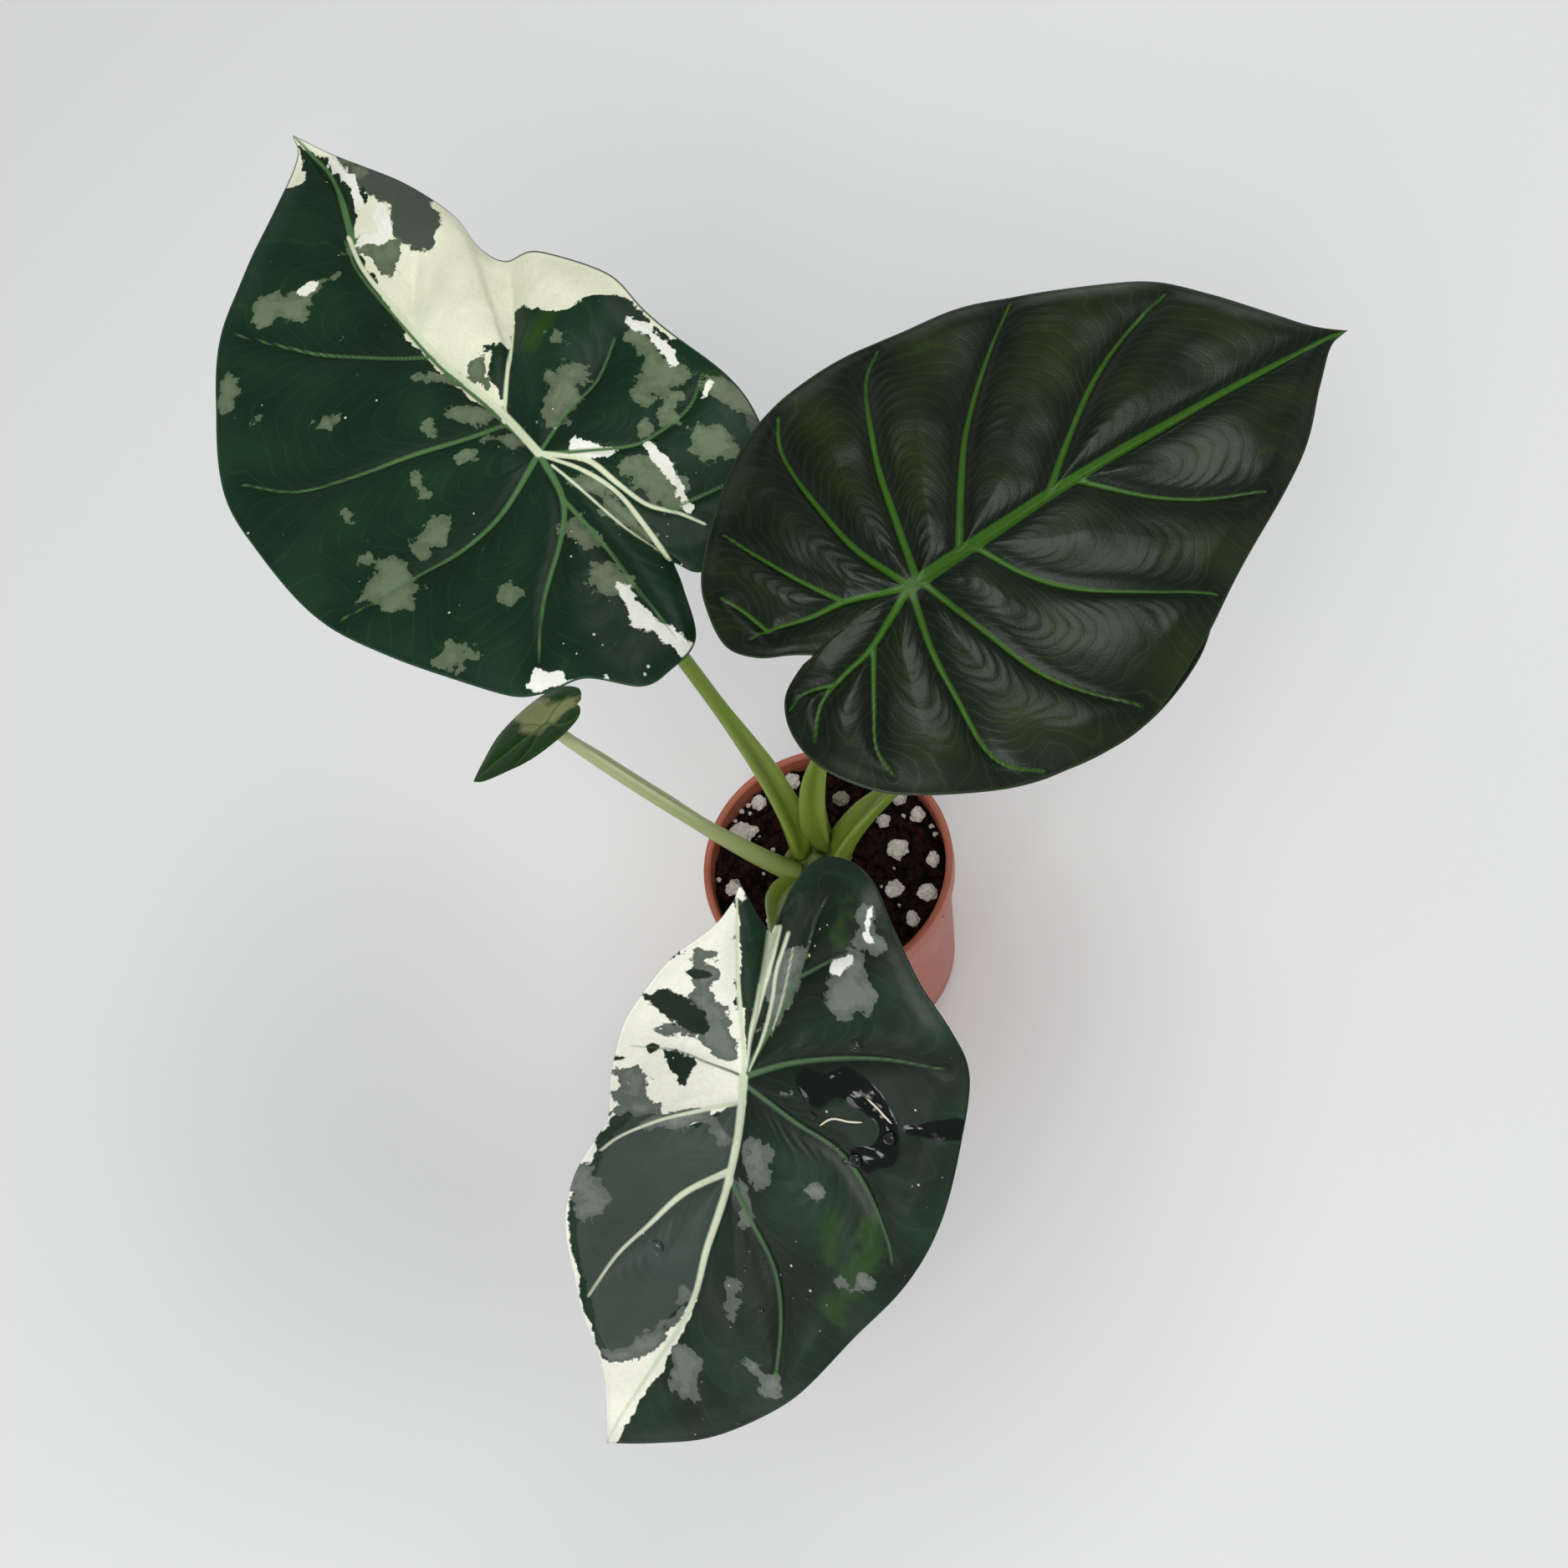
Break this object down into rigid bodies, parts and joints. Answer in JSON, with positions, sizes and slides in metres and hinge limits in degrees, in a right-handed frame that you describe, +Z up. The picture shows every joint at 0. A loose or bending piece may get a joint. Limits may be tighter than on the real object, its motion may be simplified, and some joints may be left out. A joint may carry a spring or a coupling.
{
  "type": "potted alocasia",
  "caption": "Young variegated elephant-ear plant with broad heart-shaped blades on upright stalks, growing in a round terracotta-coloured plastic nursery pot.",
  "frame": {"origin": "Centre of the pot's underside, on the surface that the pot stands on", "axes": "+Z up; -Y towards the side from which the plant is seen, with the low wet leaf pointing to -X -Y; +X towards the all-green leaf"},
  "size_m": [0.3757, 0.4839, 0.355],
  "materials": {
    "pot_plastic": "satin",
    "growing_mix": "matte",
    "pumice": "matte",
    "crown_tissue": "satin",
    "stalk_tissue": "satin",
    "variegated_blade": "satin",
    "green_blade": "gloss"
  },
  "bodies": {
    "root": {"nursery_pot": "pot_plastic", "potting_mix": "growing_mix", "crown": "crown_tissue", "pumice_chunk_01": "pumice", "pumice_chunk_02": "pumice", "pumice_chunk_03": "pumice", "pumice_chunk_04": "pumice", "pumice_chunk_05": "pumice", "pumice_chunk_06": "pumice", "pumice_chunk_07": "pumice", "pumice_chunk_08": "pumice", "pumice_chunk_09": "pumice", "pumice_chunk_10": "pumice", "pumice_chunk_11": "pumice", "pumice_chunk_12": "pumice", "pumice_chunk_13": "pumice", "pumice_chunk_14": "pumice", "pumice_chunk_15": "pumice", "pumice_chunk_16": "pumice", "pumice_chunk_17": "pumice", "petiole_1": "stalk_tissue", "leaf_blade_1": "variegated_blade", "petiole_2": "stalk_tissue", "leaf_blade_2": "green_blade", "petiole_3": "stalk_tissue", "leaf_blade_3": "variegated_blade", "petiole_4": "stalk_tissue", "leaf_blade_4": "variegated_blade", "petiole_5": "stalk_tissue", "leaf_blade_5": "green_blade"}
  },
  "joints": []
}
